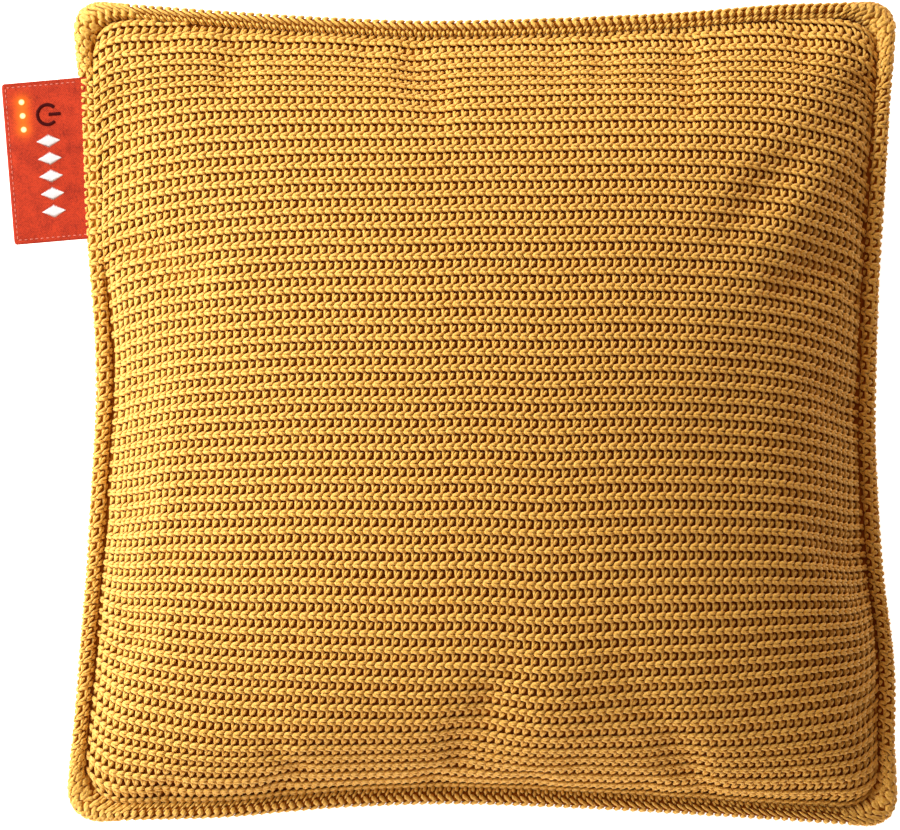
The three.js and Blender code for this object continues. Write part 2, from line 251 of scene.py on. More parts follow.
# %% Sizes of the outline
CORNERS = {
    # name: x, y, radius
    "top left": (-223.5, 225.6, 11),
    "top right": (226.2, 225.1, 10),
    "bottom right": (227.3, -225.6, 12),
    "bottom left": (-227.3, -222.9, 14),
}
SIDES = {
    # name: first corner, last corner, axis along it, way out, hollow, its deepest place, lip width
    "left": ("bottom left", "top left", 1, -1, 15.6, 0.08, 9),
    "right": ("bottom right", "top right", 1, 1, 13, 0, 9),
    "bottom": ("bottom left", "bottom right", 0, -1, 12.3, -0.07, 9.5),
    "top": ("top left", "top right", 0, 1, 12, -0.15, 8),
}
EDGE_SWELLS = [
    # side, place along it, spread, reach
    ("right", -0.62, 0.2, 3.8),
    ("bottom", -0.64, 0.2, 2.2),
    ("left", 0.42, 0.18, 2),
    ("top", 0.72, 0.16, 1.4),
]
HOLLOW_POWER = 1.5
EDGE_ROUNDER, SEAM_ROUNDER = 5, 8  # soft cloth turns its corners wider, and the stitch line wider still


# %% Points of the outline
def hump(distance, spread):
    return np.exp(-((distance / spread) ** 2))


def corner_at(name, inset):
    x, y, radius = CORNERS[name]
    upright = SIDES["left" if x < 0 else "right"]
    level = SIDES["bottom" if y < 0 else "top"]
    place = (x - upright[3] * upright[6] * inset, y - level[3] * level[6] * inset)
    return place, radius + EDGE_ROUNDER + SEAM_ROUNDER * inset


def side_points(name, t, inset):
    """Points of one side for places t from -1 to 1. inset is 0 at the edge and 1 at the seam."""
    first, last, along, out, hollow, deepest, _ = SIDES[name]
    (a, a_radius), (b, b_radius) = corner_at(first, inset), corner_at(last, inset)
    cut = 1 - math.sqrt(0.5)
    low, high = a[along] + cut * a_radius, b[along] - cut * b_radius
    place = low + (high - low) * (t + 1) / 2
    line = a[1 - along] + (b[1 - along] - a[1 - along]) * (place - a[along]) / (b[along] - a[along])
    drop = 0
    for distance, radius in ((place - a[along], a_radius), (b[along] - place, b_radius)):
        drop = drop + radius - np.sqrt(radius**2 - np.clip(radius - distance, 0, radius) ** 2)
    from_deepest = np.where(t > deepest, (t - deepest) / (1 - deepest), (deepest - t) / (1 + deepest))
    inward = drop + hollow * (1 - from_deepest**HOLLOW_POWER)
    for side, at, spread, reach in EDGE_SWELLS:
        if side == name:
            inward = inward - reach * hump(t - at, spread)
    return np.stack([place, line - out * inward] if along == 0 else [line - out * inward, place], axis=-1)


def plan_points(p, q, inset=1):
    """Blends the four sides into the place of each panel point (p, q), both from -1 to 1."""
    s, t = (p[..., None] + 1) / 2, (q[..., None] + 1) / 2
    upright = side_points("left", q, inset) * (1 - s) + side_points("right", q, inset) * s
    level = side_points("bottom", p, inset) * (1 - t) + side_points("top", p, inset) * t
    ends = [side_points(name, np.array(at), inset) for name in ("bottom", "top") for at in (-1.0, 1.0)]
    corners = (ends[0] * (1 - s) + ends[1] * s) * (1 - t) + (ends[2] * (1 - s) + ends[3] * s) * t
    return upright + level - corners


middle_width = side_points("right", np.array(0.0), 0)[0] - side_points("left", np.array(0.0), 0)[0]
print("across its middle the cushion is", round(float(middle_width)), "mm wide")

# %% [markdown]
# ## The filled body
#
# Over the stitch line both panels rise in a crown. The front is fullest a little below its middle, where the
# filling has settled, and the back is pressed flat on the floor. The soft dents and ridges are the ones that
# show in the picture. A sculpted grid could give this too, but formulas can be read at any place of the
# cloth, which the stitches need later.

# %% Sizes of the filled body
FRONT_CROWN, BACK_CROWN = 76, 67
SEAM_HALF_GAP = 1
ACROSS_POWER, TOP_POWER, BOTTOM_POWER = 0.6, 0.72, 0.54  # how steeply the crown rises from each side
CORNER_DROOP, DROOP_POWER, EDGE_WAVE = 9, 4, 1.2  # the stitch line sinks at the corners and waves a little
FOLDS = [
    # x, y, direction in degrees, half length, half width, height
    (152, 122, 47, 62, 15, -4.5),
    (186, 128, 62, 55, 11, 2.5),
    (140, 40, 78, 60, 16, -2.6),
    (-178, 120, 96, 62, 10, 2.6),
    (-152, 70, 72, 60, 11, -2.4),
    (-168, -40, 84, 52, 12, 2.4),
    (-140, -118, 118, 60, 14, -2.2),
    (36, -152, 84, 40, 20, 3),
    (-2, -160, 66, 42, 13, -2.6),
    (92, -158, 120, 46, 15, -2.6),
    (-160, 196, 20, 40, 9, 2.2),
]
FOLD_FADE = 3  # the folds are full once the crown has risen by a third
SMOOTH_FROM, SMOOTH_TO, SMOOTH_BLEND = 0.38, 0.9, 0.07  # where the left edge runs smoothly over the tab
SMOOTH_REACH = 0.86  # and from how far out
SMOOTH_POWER = 0.3  # how much gentler the crown rises there
# inset, height and lift over the tab, from the front's stitch line to the edge and on to the back's
FRONT_LIP = [(1, 1, 6.5), (0.72, 3.6, 2.6), (0.28, 3.4, 1.2), (0, 0.4, 1.4)]
BACK_LIP = [(0, 0.4, 1.4), (0.28, -3.2, 0), (0.72, -3.4, 0), (1, -1, 0)]


# %% Heights over the outline
def seam_height(p, q):
    wave = np.sin(5 * p + 2 * q + 1) + np.sin(6 * q - 3 * p)
    droop = CORNER_DROOP * np.abs(p * q) ** DROOP_POWER
    return SEAM_HEIGHT / MM - droop + EDGE_WAVE * wave * (p * p + q * q) / 2


def crown_share(p, q, softer=0.0):
    """How far the crown has risen, from 0 at the stitch line to 1."""

    def rise(at):
        return np.clip(1 - at, 0, None) ** TOP_POWER * np.clip(1 + at, 0, None) ** BOTTOM_POWER

    fullest = (BOTTOM_POWER - TOP_POWER) / (BOTTOM_POWER + TOP_POWER)
    return np.clip(1 - p * p, 0, None) ** (ACROSS_POWER + softer) * rise(q) / rise(fullest)


def fold_height(x, y):
    height = 0
    for fold_x, fold_y, turn, length, width, high in FOLDS:
        angle = math.radians(turn)
        along = (x - fold_x) * math.cos(angle) + (y - fold_y) * math.sin(angle)
        aside = (y - fold_y) * math.cos(angle) - (x - fold_x) * math.sin(angle)
        height = height + high * hump(along, length) * hump(aside, width)
    return height


def soft_step(value, low, high):
    share = np.clip((value - low) / (high - low), 0, 1)
    return share * share * (3 - 2 * share)


def smooth_share(p, q):
    """1 at the left edge over the tab, where the cover runs on without a lip, and 0 elsewhere."""
    begins = soft_step(q, SMOOTH_FROM - SMOOTH_BLEND, SMOOTH_FROM + SMOOTH_BLEND)
    ends = soft_step(q, SMOOTH_TO - SMOOTH_BLEND, SMOOTH_TO + SMOOTH_BLEND)
    return soft_step(-p, SMOOTH_REACH, 1) * begins * (1 - ends)


def with_height(plan, height):
    return np.concatenate([plan, height[..., None]], axis=-1) * MM


# %% Points of the panels and the lip
def front_points(p, q):
    plan = plan_points(p, q)
    crown = crown_share(p, q, SMOOTH_POWER * smooth_share(p, q))
    folds = fold_height(plan[..., 0], plan[..., 1]) * np.minimum(1, FOLD_FADE * crown)
    lift = FRONT_LIP[0][2] * smooth_share(p, q) * (1 - crown)
    return with_height(plan, seam_height(p, q) + SEAM_HALF_GAP + FRONT_CROWN * crown + folds + lift)


def back_points(p, q):
    height = seam_height(p, q) - SEAM_HALF_GAP - BACK_CROWN * crown_share(p, q)
    return with_height(plan_points(p, q), np.maximum(height, 0))


def lip_points(p, q, inset, height, lift):
    return with_height(plan_points(p, q, inset), seam_height(p, q) + height + lift * smooth_share(p, q))


top = front_points(np.zeros(1), np.zeros(1))[0]
print("the middle of the front is", round(float(top[2] / MM)), "mm over the floor")

# %% [markdown]
# The body is one closed mesh of quads: a grid for each panel, with its lines closer together near the seam
# where the crown is steep, and five loops that carry the rim round the lip. Its points are all worked out, so
# the mesh is made from them at once.

# %% Places of the body's points
CELLS = 44
TIGHTER = 0.11  # how far the grid's lines move towards the seams
EVEN = np.linspace(-1, 1, CELLS + 1)
LINES = EVEN + TIGHTER * np.sin(math.pi * EVEN)

grid_p, grid_q = np.meshgrid(LINES, LINES)
rim = [(0, i) for i in range(CELLS)] + [(j, CELLS) for j in range(CELLS)]
rim += [(CELLS, i) for i in range(CELLS, 0, -1)] + [(j, 0) for j in range(CELLS, 0, -1)]
rim_rows, rim_columns = np.array(rim).T
rim_p, rim_q = LINES[rim_columns], LINES[rim_rows]

parts = [front_points(grid_p, grid_q).reshape(-1, 3)]
parts += [lip_points(rim_p, rim_q, *row) for row in FRONT_LIP[1:] + BACK_LIP[1:3]]
parts += [back_points(grid_p, grid_q).reshape(-1, 3)]
starts = np.cumsum([0] + [len(part) for part in parts])


# %% Build the body's mesh
def grid_quads(start, facing):
    index = start + np.arange((CELLS + 1) ** 2).reshape(CELLS + 1, CELLS + 1)
    corners = [index[:-1, :-1], index[:-1, 1:], index[1:, 1:], index[1:, :-1]]
    return np.stack(corners[::facing], axis=-1).reshape(-1, 4)


def loop_quads(inner, outer):
    return np.stack([inner, outer, np.roll(outer, -1), np.roll(inner, -1)], axis=-1)


rim_index = rim_rows * (CELLS + 1) + rim_columns
loops = [rim_index] + [start + np.arange(len(rim)) for start in starts[1:-2]] + [starts[-2] + rim_index]
quads = [grid_quads(0, 1), grid_quads(starts[-2], -1)] + [loop_quads(*pair) for pair in zip(loops, loops[1:])]

body_mesh = bpy.data.meshes.new("filled_body")
body_mesh.from_pydata(np.concatenate(parts).tolist(), [], np.concatenate(quads).tolist())
body = bpy.data.objects.new("filled_body", body_mesh)
bpy.context.collection.objects.link(body)
print("the body has", len(body_mesh.polygons), "faces")

# %% [markdown]
# ## Fill it
#
# Blender's cloth simulation blows the panels up with a little pressure. The lip and the pressed patch are
# pinned. The cloth may grow by a small share, so that it has the slack from which soft puckers come. No point
# may move further than the cap, because the size has to stay the model's.

# %% Blow the cushion up
FILL_FRAMES = 18
FILL_PRESSURE = 2.2
CLOTH_SLACK = 0.006
CLOTH_QUALITY, CLOTH_STIFFNESS = 5, 1.5
MOST_MOVE = 6 * MM
PRESSED = 0.4 * MM  # points under this height rest on the floor


def cloth_places(obj):
    shown = obj.evaluated_get(bpy.context.evaluated_depsgraph_get()).data
    places = np.empty(len(shown.vertices) * 3)
    shown.vertices.foreach_get("co", places)
    return places.reshape(-1, 3)


def fill(obj, held):
    group = obj.vertex_groups.new(name="held")
    group.add(held.tolist(), 1.0, "REPLACE")
    cloth = obj.modifiers.new("filling", "CLOTH")
    cloth.settings.vertex_group_mass = "held"
    cloth.settings.effector_weights.gravity = 0
    cloth.settings.use_pressure = True
    cloth.settings.uniform_pressure_force = FILL_PRESSURE
    cloth.settings.shrink_min = -CLOTH_SLACK
    cloth.settings.quality = CLOTH_QUALITY
    cloth.settings.bending_stiffness = CLOTH_STIFFNESS
    cloth.point_cache.frame_end = FILL_FRAMES
    for step in range(1, FILL_FRAMES + 1):
        bpy.context.scene.frame_set(step)
    filled = cloth_places(obj)
    obj.modifiers.remove(cloth)
    obj.vertex_groups.clear()
    bpy.context.scene.frame_set(1)
    return filled


rest = np.concatenate(parts)
held = np.concatenate([np.concatenate(loops), starts[-2] + np.flatnonzero(parts[-1][:, 2] < PRESSED)])
moves = fill(body, np.unique(held)) - rest
far = np.linalg.norm(moves, axis=1, keepdims=True)
filled = rest + moves * np.minimum(1, MOST_MOVE / np.maximum(far, 1e-9))
filled[:, 2] = np.maximum(filled[:, 2], 0)
print("the filling moved the cloth by up to", round(float(far.max() / MM), 1), "mm")

body_mesh.vertices.foreach_set("co", filled.ravel())
body_mesh.update()

# %% [markdown]
# ## Where the stitches lie
#
# Knit cloth has rows, called courses, and columns, called wales. Each has the same number of stitches from
# seam to seam, spaced evenly along the curved cloth and not along the floor. So the lengths of the curved
# rows and columns are measured on the filled body, and turned round into a table: for each place in the
# cloth, (u, v) from -1 to 1, where it is in space, and which way it faces. The courses bow a little between
# the left and right seam, and a short table says how far at each height.

# %% Say how the knit lies
COURSES, WALES = 54, 97
PLAN_SHARE = 0.45  # the wales are spaced partly along the curve (0) and partly in plan (1)
BOW_POWER = 4
COURSE_SHIFTS = np.array([
    # v, how far the middle of the course bows up, how far the whole course has moved
    (-1, 0, 0),
    (-0.9, -0.008, 0.022),
    (-0.8, -0.014, 0.018),
    (-0.7, -0.008, 0.018),
    (-0.6, 0.008, 0.003),
    (-0.5, 0.03, -0.017),
    (-0.35, 0.068, -0.04),
    (-0.1, 0.087, -0.047),
    (0.15, 0.087, -0.053),
    (0.4, 0.079, -0.038),
    (0.6, 0.07, -0.025),
    (0.75, 0.063, -0.012),
    (0.9, 0.056, -0.027),
    (1, 0.052, 0),
])


def finer(values, old, new):
    """Values at new places along the first axis, on a smooth curve through the old ones."""
    slopes = np.gradient(values, old, axis=0)
    index = np.clip(np.searchsorted(old, new) - 1, 0, len(old) - 2)
    step = (old[index + 1] - old[index]).reshape(-1, *[1] * (values.ndim - 1))
    share = (new - old[index]).reshape(step.shape) / step
    a, b = values[index], values[index + 1]
    slope_a, slope_b = slopes[index] * step, slopes[index + 1] * step
    square, cube = share**2, share**3
    return (
        (2 * cube - 3 * square + 1) * a
        + (cube - 2 * square + share) * slope_a
        + (3 * square - 2 * cube) * b
        + (cube - square) * slope_b
    )


def bowed(u, v):
    """Where a course of an even cloth lies once the cloth is bowed and has moved."""
    shifts = finer(COURSE_SHIFTS[:, 1:], COURSE_SHIFTS[:, 0], v.ravel()).reshape(*v.shape, 2)
    return v + (1 - np.abs(u) ** BOW_POWER) * shifts[..., 0] + shifts[..., 1]


# %% Read a table of the cloth
BEYOND = 3  # table entries by which yarn may reach past a stitch line


def even_places(points, places):
    """Where even steps along each row of points fall, for points in rows and columns."""
    steps = np.linalg.norm(np.diff(points, axis=1), axis=2)
    lengths = np.concatenate([np.zeros((len(points), 1)), np.cumsum(steps, axis=1)], axis=1)
    shares = 2 * lengths / lengths[:, -1:] - 1
    return np.stack([np.interp(places, row, np.linspace(-1, 1, len(row))) for row in shares])


def read_table(table, column, row):
    """Values between a table's entries, for places from -1 to 1 across and up it, or a little beyond."""
    across, up = table.shape[1] - 1, table.shape[0] - 1
    i = np.clip((column + 1) / 2 * across, -BEYOND, across + BEYOND)
    j = np.clip((row + 1) / 2 * up, -BEYOND, up + BEYOND)
    left, low = np.clip(i.astype(int), 0, across - 1), np.clip(j.astype(int), 0, up - 1)
    s, t = (i - left)[..., None], (j - low)[..., None]
    table = table.reshape(*table.shape[:2], -1)
    bottom = table[low, left] * (1 - s) + table[low, left + 1] * s
    top = table[low + 1, left] * (1 - s) + table[low + 1, left + 1] * s
    return bottom * (1 - t) + top * t


class Cloth:
    """A table of a piece of cloth for u and v from -1 to 1: its places, the way it faces and how it sinks."""

    def __init__(self, places, facing, sink=0.0):
        across, up = np.gradient(places, axis=1), np.gradient(places, axis=0)
        normals = facing * np.cross(across, up)
        normals /= np.maximum(np.linalg.norm(normals, axis=2, keepdims=True), 1e-12)
        sunk = np.broadcast_to(sink, places.shape[:2])[..., None]
        self.table = np.concatenate([places, normals, sunk], axis=2)

    def at(self, u, v, height):
        values = read_table(self.table, u, v)
        return values[..., :3] + values[..., 3:6] * (height[..., None] - values[..., 6:])


# %% Measure the panels
FINE = 360  # cells a side in which the curved cloth is measured
TURN_ROUNDS = 4
TABLE_ACROSS, TABLE_UP = 3, 4  # table entries for each stitch and each course
GROOVE_DEEP, GROOVE_REACH = 1.0 * MM, 0.5  # how deep yarn sinks at a stitch line, over how many stitches


def seam_groove(p, q, half_stitches):
    """How deep the yarn sinks beside the left and right stitch lines, for columns from seam to seam."""
    u = np.linspace(-1, 1, p.shape[1])
    return GROOVE_DEEP * hump((1 - np.abs(u)) * half_stitches, GROOVE_REACH) * (1 - smooth_share(p, q))


def panel_table(grid):
    """The panel's (p, q) and its points in space at even places of the cloth, from its own grid of points."""
    fine_lines = np.linspace(-1, 1, FINE + 1)
    surface = finer(finer(grid, LINES, fine_lines).swapaxes(0, 1), LINES, fine_lines).swapaxes(0, 1)
    u_places = np.linspace(-1, 1, TABLE_ACROSS * WALES + 1)
    v_places = np.linspace(-1, 1, TABLE_UP * COURSES + 1)
    p_of_row = even_places(surface, u_places)  # for each fine row, p at each place u
    p_of_row = p_of_row * (1 - PLAN_SHARE) + u_places * PLAN_SHARE
    q_of_column = even_places(surface.swapaxes(0, 1), v_places)  # for each fine column, q at each place v
    u_grid, v_grid = np.meshgrid(u_places, v_places)
    lies_at = np.clip(bowed(u_grid, v_grid), -1, 1)
    p, q = u_grid, v_grid
    for _ in range(TURN_ROUNDS):
        p = read_table(p_of_row, u_grid, q)[..., 0]
        q = read_table(q_of_column, lies_at, p)[..., 0]
    return p, q, read_table(surface, p, q)


shape = (CELLS + 1, CELLS + 1, 3)
front_p, front_q, front_surface = panel_table(filled[: starts[1]].reshape(shape))
back_p, back_q, back_surface = panel_table(filled[starts[-2] :].reshape(shape))
groove = seam_groove(front_p, front_q, WALES / 2)
front_cloth, back_cloth = Cloth(front_surface, 1, groove), Cloth(back_surface, -1)
middle_row = front_surface[len(front_surface) // 2]
row_length = float(np.linalg.norm(np.diff(middle_row, axis=0), axis=1).sum())
print("a stitch is about", round(row_length / WALES / MM, 2), "mm wide")

# %% [markdown]
# The lip is the panels' own cloth, running on past the stitch line. Its yarn is wrapped round it, from the
# front's stitch line over the edge to the back's. Each side is one more table, and its profile is a smooth
# curve through the lip's few sizes. Beside the left and right stitch lines the yarn sinks into a groove.

# %% Tables for the lip
ROUND_LIP = 24
LIP_SPREAD = 0.04  # how much longer a side is at its edge than at its seam
LIP_FALL = 0.01  # the courses fall a little towards the edge
LIP_POWER = 8  # at a side's ends they don't spread, because the corners have to be full
ROUND_STITCHES = 5  # on the left and right, from seam to seam
ENDS = {
    # side: where its stitch line is in the panel's tables
    "left": (slice(None), 0),
    "right": (slice(None), -1),
    "bottom": (0, slice(None)),
    "top": (-1, slice(None)),
}


def lip_profile(width):
    """Inset, height and lift at even steps round the lip, from the front's stitch line to the back's."""
    profile = np.array(FRONT_LIP + BACK_LIP[1:], float)
    steps = np.hypot(np.diff(profile[:, 0]) * width, np.diff(profile[:, 1]))
    lengths = np.concatenate([[0], np.cumsum(steps)])
    return finer(profile, lengths, np.linspace(0, lengths[-1], ROUND_LIP + 1)), lengths[-1]


def level_with_seam(name, q, inset):
    """Keeps the courses level as they run on over an upright lip."""
    if name in ("bottom", "top"):
        return q
    spread = LIP_SPREAD * (1 - inset) * (1 - np.abs(q) ** LIP_POWER)
    return q * (1 - spread) - LIP_FALL * (1 - inset) * (1 - q * q)


def lip_cloth(name):
    """The lip of one side: u runs round it for the left and right, and v for the top and bottom."""
    profile, length = lip_profile(SIDES[name][6])
    edge_p, edge_q = front_p[ENDS[name]], front_q[ENDS[name]]
    if name in ("left", "bottom"):
        profile = profile[::-1]
    loops = [lip_points(edge_p, level_with_seam(name, edge_q, row[0]), *row) for row in profile]
    if name in ("bottom", "top"):
        return Cloth(np.stack(loops), 1), length
    seams = np.repeat(edge_p[:, None], len(loops), axis=1), np.repeat(edge_q[:, None], len(loops), axis=1)
    return Cloth(np.stack(loops, axis=1), 1, seam_groove(*seams, ROUND_STITCHES / 2)), length


lips = {name: lip_cloth(name) for name in SIDES}
print("cloth round the lip, in mm:", {name: round(float(length), 1) for name, (_, length) in lips.items()})

# %% [markdown]
# ## The yarn shapes
#
# Seen close, one repeat of this knit has four lit shapes: two slanting legs, one over the other, which make
# the bright rib, and below them in the hollow an upright bump and a thin strand. Each is one short piece of
# yarn, modelled once from a small sphere and then laid thousands of times. Few faces are enough, because
# a stitch is only nine pixels wide.

# %% Model one piece of yarn
def model_yarn(name, length, width, thick, bow=0.0, around=6):
    """A short closed piece of yarn along x, in millimetres, whose middle is bowed up by bow."""
    bpy.ops.object.select_all(action="DESELECT")
    bpy.ops.mesh.primitive_uv_sphere_add(segments=around, ring_count=3, radius=0.5)
    yarn = bpy.context.active_object
    yarn.name = name
    bpy.ops.object.mode_set(mode="EDIT")
    bpy.ops.mesh.select_all(action="SELECT")
    middle = (0, 0, 0)
    bpy.ops.transform.rotate(value=math.pi / 2, orient_axis="Y", center_override=middle)
    bpy.ops.transform.resize(value=(length, width, thick), center_override=middle)
    bpy.ops.mesh.quads_convert_to_tris()
    bpy.ops.object.mode_set(mode="OBJECT")
    mesh = yarn.data
    points = np.array([vertex.co for vertex in mesh.vertices])
    points[:, 2] += bow * (0.25 - (points[:, 0] / length) ** 2)
    faces = np.array([list(face.vertices) for face in mesh.polygons])
    turned = np.arctan2(points[:, 1] / width, points[:, 2] / thick) / (2 * math.pi)
    strand = np.stack([points[:, 0], turned], axis=1)
    bpy.data.objects.remove(yarn)
    bpy.data.meshes.remove(mesh)
    return points, faces, strand


YARNS = {
    # length, width, thickness, bow
    "upper leg": model_yarn("upper_leg", 6.1, 2.5, 2.1, 1.0),
    "lower leg": model_yarn("lower_leg", 6.0, 2.6, 2.1, 1.0),
    "bump": model_yarn("bump", 4.0, 2.6, 2.6, 1.0, around=5),
    "strand": model_yarn("strand", 7.6, 2.3, 2.2, -1.4),
    "thread": model_yarn("thread", 1.0, 0.62, 0.4, 1.0),
}
print({name: len(faces) for name, (_, faces, _) in YARNS.items()}, "faces each")

# %% [markdown]
# ## Lay the stitches
#
# `lay` takes one yarn shape and all the places where it goes, and bends each copy onto the cloth's table.
# Small random turns and shifts, from a fixed seed, keep it from looking like a machine's drawing. The pieces
# come out as a few joined meshes.

# %% Lay copies of a yarn shape on a cloth
random = np.random.default_rng(RANDOM_SEED)
SHIFT, TURN, GROW = 0.14, 4.5, 0.05  # most shift in millimetres, turn in degrees and change of size


class Knit:
    """Collects laid yarn until it becomes one mesh."""

    def __init__(self):
        self.points = []
        self.faces = []
        self.strands = []
        self.over = []
        self.count = 0

    def lay(self, cloth, yarn, u, v, per_mm, lean, height, stretch=1.0, loose=1.0):
        """u and v are the copies' middles, and per_mm is how far u and v go in a millimetre of cloth."""
        points, faces, strand = YARNS[yarn]
        copies = len(u)
        lean = np.broadcast_to(lean, copies)[:, None]
        stretch = np.broadcast_to(stretch, copies)[:, None]
        turn = np.radians(lean + loose * random.uniform(-TURN, TURN, (copies, 1)))
        grow = 1 + loose * random.uniform(-GROW, GROW, (copies, 1))
        x = points[:, 0] * grow * stretch
        y = points[:, 1] * grow
        shift = loose * random.uniform(-SHIFT, SHIFT, (2, copies, 1))
        across = x * np.cos(turn) - y * np.sin(turn) + shift[0]
        up = x * np.sin(turn) + y * np.cos(turn) + shift[1]
        lifted = (points[:, 2] * grow + height) * MM
        laid = cloth.at(u[:, None] + across * per_mm[0], v[:, None] + up * per_mm[1], lifted)
        self.points.append(laid.reshape(-1, 3))
        index = self.count + np.arange(copies)[:, None, None] * len(points)
        self.faces.append((faces + index).reshape(-1, 3))
        self.strands.append(np.tile(strand[faces.ravel()], (copies, 1)))
        self.over.append(np.tile(points[faces].mean(axis=1)[:, 2] > points[:, 2].mean(), copies))
        self.count += copies * len(points)

    def piece(self, name, flip=False):
        """Makes the mesh, with a map along the yarn, and a plan map with the yarn's undersides set apart."""
        points = np.concatenate(self.points)
        faces = np.concatenate(self.faces)
        if flip:
            faces = faces[:, ::-1]
        mesh = bpy.data.meshes.new(name)
        mesh.vertices.add(len(points))
        mesh.vertices.foreach_set("co", points.ravel())
        mesh.loops.add(faces.size)
        mesh.loops.foreach_set("vertex_index", faces.ravel())
        mesh.polygons.add(len(faces))
        mesh.polygons.foreach_set("loop_start", np.arange(len(faces)) * 3)
        mesh.polygons.foreach_set("use_smooth", np.ones(len(faces), bool))
        mesh.update(calc_edges=True)
        strands = np.concatenate(self.strands)
        if flip:
            strands = strands.reshape(-1, 3, 2)[:, ::-1].reshape(-1, 2)
        mesh.uv_layers.new(name="Strand").data.foreach_set("uv", strands.ravel())
        plan = points[faces.ravel()][:, :2]
        plan = (plan - plan.min(axis=0)) / (plan.max(axis=0) - plan.min(axis=0))
        under = np.repeat(~np.concatenate(self.over), 3)
        plan[:, 1] = plan[:, 1] * 0.49 + np.where(under, 0.5, 0.0)
        mesh.uv_layers.new(name="OFBake").data.foreach_set("uv", plan.ravel())
        piece = bpy.data.objects.new(name, mesh)
        bpy.context.collection.objects.link(piece)
        return piece


# %% Lay one panel
WALE_WIDE, COURSE_HIGH = 4.6, 8.7  # one repeat of the knit where it lies flat, in millimetres
SLANT = 0.09  # each course lies this share of a stitch further right than the one below it
FIRST_COURSE = 0.5  # the bottom seam cuts the first course in half, so that a rib runs along it
SPARE_WALES = 8  # laid past the sides, because the slant moves the wales along
MARGIN = 0.1  # how much of a stitch stays clear of a seam
RIB = [
    # yarn, place across in stitches, place up in courses, lean in degrees, height in millimetres
    ("upper leg", 0.53, 0.9, 18, 0.7),
    ("lower leg", 0.47, 0.7, -14, 0.75),
]
HOLLOW = [
    ("bump", 0.15, 0.29, 60, -0.3),
    ("strand", 0.88, 0.3, 92, 0.0),
]


def lay_panel(knit, cloth, courses, repeat):
    size = (2 / WALES, 2 / COURSES)
    per_mm = (size[0] / WALE_WIDE, size[1] / COURSE_HIGH)
    for course in courses:
        wale = np.arange(-SPARE_WALES, WALES + SPARE_WALES)
        for yarn, across, up, lean, height in repeat:
            v = np.full(len(wale), -1 + (course - FIRST_COURSE + up) * size[1])
            u = -1 + (wale + across + SLANT * (course - COURSES / 2)) * size[0]
            inside = (np.abs(u) < 1) & (np.abs(bowed(u, v)) < 1 - MARGIN * size[1])
            knit.lay(cloth, yarn, u[inside], v[inside], per_mm, lean, height)


FRONT_BANDS, BACK_BANDS = 4, 3
all_courses = np.arange(COURSES + 1)
knit_pieces = []
for band, courses in enumerate(np.array_split(all_courses, FRONT_BANDS)):
    knit = Knit()
    lay_panel(knit, front_cloth, courses, RIB + HOLLOW)
    knit_pieces.append(knit.piece(f"front_knit_{band + 1}"))
for band, courses in enumerate(np.array_split(all_courses, BACK_BANDS)):
    knit = Knit()
    lay_panel(knit, back_cloth, courses, RIB + HOLLOW[:1])
    knit_pieces.append(knit.piece(f"back_knit_{band + 1}", flip=True))
print({piece.name: len(piece.data.polygons) for piece in knit_pieces})

# %% [markdown]
# On the left and right the same courses run on round the lip, five stitches from seam to seam. Along the top
# and bottom a row of bumps lies in the groove, and a rib of slanting legs on the edge, like a laid rope. The
# lip is wider at its corners, so more yarn is laid there, between the other rows.

# %% Lay the lip
LIP_RELIEF = 0.3  # the lip's ribs are pressed flatter than the panels'
LIP_ROWS = [
    # yarn, place across in stitches, place round the lip from the front (-1) to the back (1), lean, height
    ("bump", 0.36, -0.8, 84, 0.0),
    ("strand", 0.92, -0.78, 80, 0.0),
    ("upper leg", 0.5, -0.4, -38, 0.3),
    ("lower leg", 0.5, -0.14, 34, 0.3),
    ("upper leg", 0.5, 0.14, -34, 0.3),
    ("lower leg", 0.5, 0.4, 38, 0.3),
    ("bump", 0.36, 0.76, 84, 0.0),
]
CORNER_ROWS = [
    # the same, for the corners alone
    ("bump", 0.86, -0.64, 60, 0.1),
    ("lower leg", 0.0, -0.58, 34, 0.1),
    ("upper leg", 0.0, -0.27, -36, 0.2),
    ("lower leg", 0.0, 0.0, 36, 0.2),
    ("upper leg", 0.0, 0.27, -36, 0.2),
    ("bump", 0.86, 0.58, 84, 0.0),
]
CORNER_COURSES = [0.5, 1.5, 2.5, COURSES - 2.5, COURSES - 1.5, COURSES - 0.5]
CORNER_STITCHES = 5  # how many stitches from a corner these rows and courses fill

